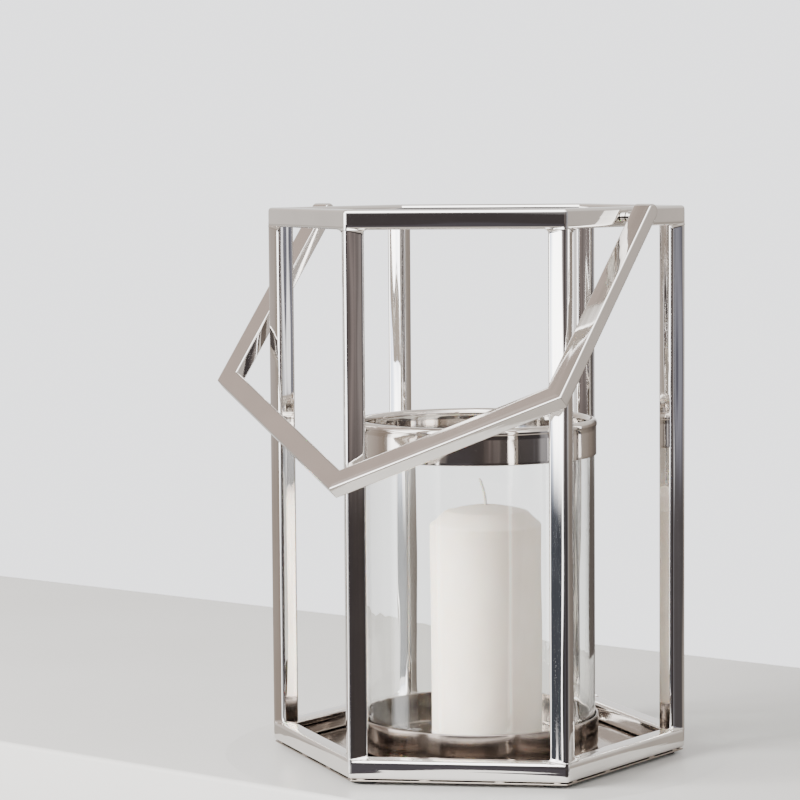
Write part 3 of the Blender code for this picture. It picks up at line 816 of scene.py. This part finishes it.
def make_pivots():
    """Stud, spacer, washer and cap nut at each end of the pivot axis."""
    for side, word in ((1, "right"), (-1, "left")):
        for kind, piece, radius in (("spacer", "spacer_sleeve", SPACER_RADIUS),
                                    ("washer", "washer_disc", WASHER_RADIUS)):
            node = f"pivot_{kind}_{word}"
            start, end = span_x(node)
            profile = rounded_disc(start, end, STUD_RADIUS + PIVOT_CLEARANCE, radius, 0.0003)
            along_x(f"{piece}_{word}", profile, side, node_body(node), [node])
        node = f"pivot_stud_{word}"
        along_x(f"stud_rod_{word}", stud_profile(*span_x(node)), side, node_body(node),
                [node], 48)
        node = f"cap_nut_{word}"
        along_x(f"dome_nut_{word}", nut_profile(*span_x(node)), side, node_body(node),
                [node], 72, NUT_ACROSS_FLATS)


def stud_profile(start, end):
    """Threaded from its inner end, plain towards the leg."""
    edge = 0.0004
    profile = [(start, 0), (start, STUD_RADIUS - edge), (start + edge, STUD_RADIUS)]
    for i in range(THREAD_TURNS):
        crest = start + edge + THREAD_PITCH * i
        profile += [(crest + THREAD_PITCH / 2, STUD_RADIUS - THREAD_DEPTH),
                    (crest + THREAD_PITCH, STUD_RADIUS)]
    return profile + [(end - edge, STUD_RADIUS), (end, STUD_RADIUS - edge), (end, 0)]


def nut_profile(tip, face):
    """Chamfered hexagon with a domed end; its blind bore opens on the face."""
    edge = 0.0004
    bore = STUD_RADIUS + PIVOT_CLEARANCE
    corner = NUT_ACROSS_FLATS / 2 / math.cos(HALF_SIDE)
    profile = [(face - NUT_BORE_DEPTH, 0), (face - NUT_BORE_DEPTH, bore), (face, bore),
               (face, NUT_ACROSS_FLATS / 2 * 0.97), (face - edge, corner),
               (face - NUT_BODY + edge, corner), (face - NUT_BODY, NUT_DOME_RADIUS)]
    dome_steps = 8
    for i in range(dome_steps + 1):
        turn = math.pi / 2 * i / dome_steps
        profile.append((face - NUT_BODY - NUT_DOME_HEIGHT * math.sin(turn),
                        NUT_DOME_RADIUS * math.cos(turn)))
    return [(max(x, tip), r) for x, r in profile]


def span_x(node):
    """Distances from the middle at which a CAD node starts and ends, along the pivot axis."""
    low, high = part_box(node)
    return sorted((abs(low.x), abs(high.x)))


def node_body(node):
    """The body a CAD node rides on."""
    return frame["nodes"][node]["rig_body"]


# ---------------------------------------------------------------- studio
FLOOR_FRONT, FLOOR_BACK = -0.150, 0.376           # the shelf's edges, along Y
FLOOR_SIDE = 1.6
FLOOR_DEPTH = 0.040
FLOOR_EDGE = 0.003
FLOOR_TOP = -0.00005          # just under the round patch by the lantern
NEAR_FLOOR = 0.158            # radius of that patch, the only part the metal mirrors


def make_floor():
    """Pale satin shelf that the lantern stands on, and its round patch by the lantern."""
    bm = bmesh.new()
    section = [(FLOOR_FRONT, -FLOOR_DEPTH)]
    section += arc((FLOOR_FRONT + FLOOR_EDGE, FLOOR_TOP - FLOOR_EDGE), FLOOR_EDGE,
                   math.pi, math.pi / 2, 4)
    section += [(FLOOR_BACK, FLOOR_TOP), (FLOOR_BACK, -FLOOR_DEPTH)]
    near = [bm.verts.new((-FLOOR_SIDE, y, z)) for y, z in section]
    far = [bm.verts.new((FLOOR_SIDE, y, z)) for y, z in section]
    for i in range(len(section)):
        j = (i + 1) % len(section)
        bm.faces.new((near[i], near[j], far[j], far[i]))
    bm.faces.new(near)
    bm.faces.new(far)
    bmesh.ops.recalc_face_normals(bm, faces=bm.faces)
    mesh = bpy.data.meshes.new("floor")
    bm.to_mesh(mesh)
    bm.free()
    mesh.shade_smooth()
    mesh.set_sharp_from_angle(angle=math.radians(40))
    material, tree, shader = start_material("floor_paint", Roughness=0.34, IOR=1.45)
    place = add_node(tree, "ShaderNodeTexCoord").outputs["Object"]
    patches = between(tree, stretched_noise(tree, place, (1, 1, 1), 6, 3), 0, 1)
    mix = add_node(tree, "ShaderNodeMix", {
        0: patches, 6: (0.66, 0.65, 0.63, 1), 7: (0.69, 0.685, 0.665, 1)},
        data_type="RGBA")
    tree.links.new(mix.outputs[2], shader.inputs["Base Color"])
    mesh.materials.append(material)
    floor = bpy.data.objects.new("floor", mesh)
    floor.visible_glossy = False
    bpy.context.scene.collection.objects.link(floor)

    bm = bmesh.new()
    bmesh.ops.create_circle(bm, cap_ends=True, segments=96, radius=NEAR_FLOOR)
    for vert in bm.verts:
        vert.co.y = max(vert.co.y + AXIS_Y, FLOOR_FRONT + FLOOR_EDGE)
    near_mesh = bpy.data.meshes.new("floor_near")
    bm.to_mesh(near_mesh)
    bm.free()
    near_mesh.materials.append(material)
    near_floor = bpy.data.objects.new("floor_near", near_mesh)
    bpy.context.scene.collection.objects.link(near_floor)


# What the polished metal mirrors, by direction round the room: degrees from +X, colour.
# One ring each for looking level, a little down, down, up, and overhead.
LEVEL = [
    (-180, (0.80, 0.73, 0.67)), (-160, (0.55, 0.48, 0.44)), (-152, (0.40, 0.34, 0.28)),
    (-146, (0.40, 0.36, 0.32)), (-142, (8.0, 8.0, 8.0)), (-124, (8.0, 8.0, 8.0)),
    (-112, (1.2, 1.25, 1.4)), (-105, (1.3, 1.5, 1.9)), (-100, (3.4, 3.7, 4.4)),
    (-96, (9.0, 9.0, 9.0)), (-90, (8.0, 8.0, 8.0)), (-88, (0.5, 0.45, 0.44)),
    (-80, (0.08, 0.07, 0.075)), (-66, (0.065, 0.056, 0.058)), (-46, (0.10, 0.085, 0.083)),
    (-41, (0.30, 0.25, 0.24)), (-37, (0.17, 0.145, 0.14)), (-33, (0.33, 0.285, 0.275)),
    (-28, (0.13, 0.115, 0.11)), (4, (0.12, 0.11, 0.115)), (12, (0.70, 0.70, 0.74)),
    (15, (0.16, 0.16, 0.19)), (19, (2.4, 2.4, 2.5)), (21, (0.14, 0.14, 0.17)),
    (27, (0.34, 0.34, 0.40)), (31, (0.11, 0.11, 0.14)), (40, (0.66, 0.61, 0.57)),
    (58, (0.68, 0.62, 0.57)), (84, (0.34, 0.29, 0.25)), (110, (0.14, 0.12, 0.11)),
    (120, (1.5, 1.48, 1.48)),
]
BELOW = [
    (-180, (0.62, 0.55, 0.49)), (-160, (0.42, 0.35, 0.30)), (-146, (0.34, 0.28, 0.23)),
    (-141, (6.0, 6.0, 6.0)), (-129, (6.0, 6.0, 6.0)), (-123, (0.14, 0.14, 0.16)),
    (-104, (0.075, 0.083, 0.10)), (-92.4, (0.07, 0.075, 0.09)), (-91.6, (7.0, 7.0, 7.0)),
    (-90.4, (7.0, 7.0, 7.0)), (-89.6, (0.05, 0.047, 0.05)), (-78, (0.08, 0.075, 0.085)),
    (-66, (0.10, 0.092, 0.105)), (-52, (0.05, 0.043, 0.045)), (-36, (0.065, 0.054, 0.052)),
    (-18, (0.045, 0.04, 0.04)), (8, (0.06, 0.055, 0.06)), (13, (0.42, 0.42, 0.45)),
    (18, (0.50, 0.50, 0.53)), (21, (0.11, 0.10, 0.105)), (33, (0.085, 0.077, 0.078)),
    (40, (0.45, 0.40, 0.36)), (57, (0.52, 0.47, 0.42)), (70, (0.36, 0.32, 0.28)),
    (84, (0.24, 0.205, 0.18)), (98, (0.12, 0.10, 0.09)), (117, (0.14, 0.12, 0.11)),
    (122, (0.95, 0.92, 0.88)), (150, (0.9, 0.87, 0.83)), (170, (0.66, 0.60, 0.54)),
]
UPWARD = [
    (-180, (0.72, 0.60, 0.53)), (-158, (0.70, 0.58, 0.52)), (-140, (2.0, 1.9, 1.85)),
    (-120, (6.0, 6.0, 6.0)), (-66, (7.0, 7.0, 7.0)), (-20, (4.0, 4.0, 4.0)),
    (10, (1.2, 1.15, 1.1)), (40, (0.9, 0.84, 0.78)), (100, (1.1, 1.06, 1.02)),
    (140, (1.2, 1.15, 1.1)), (165, (0.95, 0.84, 0.76)),
]
OVERHEAD = [
    (-180, (0.40, 0.33, 0.29)), (-150, (0.6, 0.52, 0.46)), (-120, (2.5, 2.5, 2.5)),
    (-60, (7.0, 7.0, 7.0)), (0, (3.0, 3.0, 3.0)), (60, (0.9, 0.85, 0.8)),
    (120, (0.55, 0.48, 0.43)),
]
DOWNWARD = [(-180, (0.78, 0.70, 0.62)), (0, (0.78, 0.72, 0.66))]
RING_SCALE = 10.0                                 # ramps hold colours up to 1
# Degrees above level over which each ring gives way to the next one up.
RING_BLENDS = ((-36.0, -22.0), (-7.5, -4.5), (4.0, 22.0), (52.0, 60.0))
PALE = (2.27, 2.28, 2.34, 1)                      # the plain room beyond the floor
AMBIENT = (0.65, 0.62, 0.59, 1)                   # soft light that it gives


def colour_ring(tree, position, stops):
    """A ramp round the room, closed at the back."""
    ramp = add_node(tree, "ShaderNodeValToRGB", {"Fac": position})
    elements = ramp.color_ramp.elements
    closed = stops + [(180, stops[0][1])]
    while len(elements) < len(closed):
        elements.new(1.0)
    for element, (degrees, colour) in zip(elements, closed):
        element.position = (degrees + 180) / 360
        element.color = (*[c / RING_SCALE for c in colour], 1)
    return ramp.outputs["Color"]


def make_world():
    """A plain pale room, soft light for matt surfaces, and the rings for what metal mirrors."""
    world = bpy.data.worlds.new("studio")
    bpy.context.scene.world = world
    world.use_nodes = True
    tree = world.node_tree
    tree.nodes.clear()
    direction = add_node(tree, "ShaderNodeTexCoord").outputs["Generated"]
    parts = add_node(tree, "ShaderNodeSeparateXYZ", {"Vector": direction})
    turn = add_node(tree, "ShaderNodeMath", {0: parts.outputs["Y"], 1: parts.outputs["X"]},
                    operation="ARCTAN2")
    position = add_node(tree, "ShaderNodeMapRange", {
        "Value": turn.outputs[0], "From Min": -math.pi, "From Max": math.pi})
    rings = [colour_ring(tree, position.outputs["Result"], stops)
             for stops in (DOWNWARD, BELOW, LEVEL, UPWARD, OVERHEAD)]
    height = parts.outputs["Z"]
    colour = rings[0]
    for ring, (start, end) in zip(rings[1:], RING_BLENDS):
        share = add_node(tree, "ShaderNodeMapRange", {
            "Value": height, "From Min": math.sin(math.radians(start)),
            "From Max": math.sin(math.radians(end))}, interpolation_type="SMOOTHSTEP")
        mix = add_node(tree, "ShaderNodeMix", {
            0: share.outputs["Result"], 6: colour, 7: ring}, data_type="RGBA")
        colour = mix.outputs[2]
    mirrored = add_node(tree, "ShaderNodeBackground", {"Color": colour,
                                                       "Strength": RING_SCALE})
    plain = add_node(tree, "ShaderNodeBackground", {"Color": PALE, "Strength": 1.0})
    ambient = add_node(tree, "ShaderNodeBackground", {"Color": AMBIENT, "Strength": 1.0})
    path = add_node(tree, "ShaderNodeLightPath")
    once = 0.5                                    # parts no bounce from one
    reflected = add_node(tree, "ShaderNodeMath", {
        0: path.outputs["Glossy Depth"], 1: once}, operation="GREATER_THAN")
    scattered = add_node(tree, "ShaderNodeMath", {
        0: path.outputs["Diffuse Depth"], 1: once}, operation="GREATER_THAN")
    seen = add_node(tree, "ShaderNodeMixShader", {
        0: reflected.outputs[0], 1: plain.outputs[0], 2: mirrored.outputs[0]})
    chosen = add_node(tree, "ShaderNodeMixShader", {
        0: scattered.outputs[0], 1: seen.outputs[0], 2: ambient.outputs[0]})
    output = add_node(tree, "ShaderNodeOutputWorld")
    tree.links.new(chosen.outputs[0], output.inputs["Surface"])


def area_light(name, place, target, size, power, colour):
    """Soft lamp that aims at a point and doesn't show in the metal."""
    data = bpy.data.lights.new(name, "AREA")
    data.shape = "DISK"
    data.size = size
    data.energy = power
    data.color = colour
    lamp = bpy.data.objects.new(name, data)
    bpy.context.scene.collection.objects.link(lamp)
    lamp.location = place
    lamp.rotation_euler = (Vector(target) - Vector(place)).to_track_quat("-Z", "Y").to_euler()
    lamp.visible_glossy = False


def make_lights():
    middle = (0, AXIS_Y, 0.15)
    area_light("key", place=(-1.75, -2.85, 1.45), target=middle, size=2.2, power=430,
               colour=(1.0, 0.99, 0.98))
    area_light("fill", place=(1.5, -0.9, 1.5), target=middle, size=1.4, power=8,
               colour=(1.0, 0.98, 0.95))


CAMERA_PLACE = (1.0235, AXIS_Y - 1.4151, 0.3640)
CAMERA_TURN, CAMERA_DIP, CAMERA_ROLL = 37.42, 4.70, -0.436  # degrees
CAMERA_LENS = 126.58


def make_camera():
    data = bpy.data.cameras.new("camera")
    data.lens = CAMERA_LENS
    data.sensor_width = 36
    data.clip_start = 0.01
    camera = bpy.data.objects.new("camera", data)
    bpy.context.scene.collection.objects.link(camera)
    camera.matrix_world = (
        Matrix.Translation(CAMERA_PLACE)
        @ Matrix.Rotation(math.radians(CAMERA_TURN), 4, "Z")
        @ Matrix.Rotation(math.radians(90 - CAMERA_DIP), 4, "X")
        @ Matrix.Rotation(math.radians(CAMERA_ROLL), 4, "Z"))
    bpy.context.scene.camera = camera


make_frame()
make_plate()
make_tacks()
make_feet()
make_cup()
make_glass()
make_band()
make_candle()
make_wick()
make_handle()
make_pivots()
make_floor()
make_world()
make_lights()
make_camera()
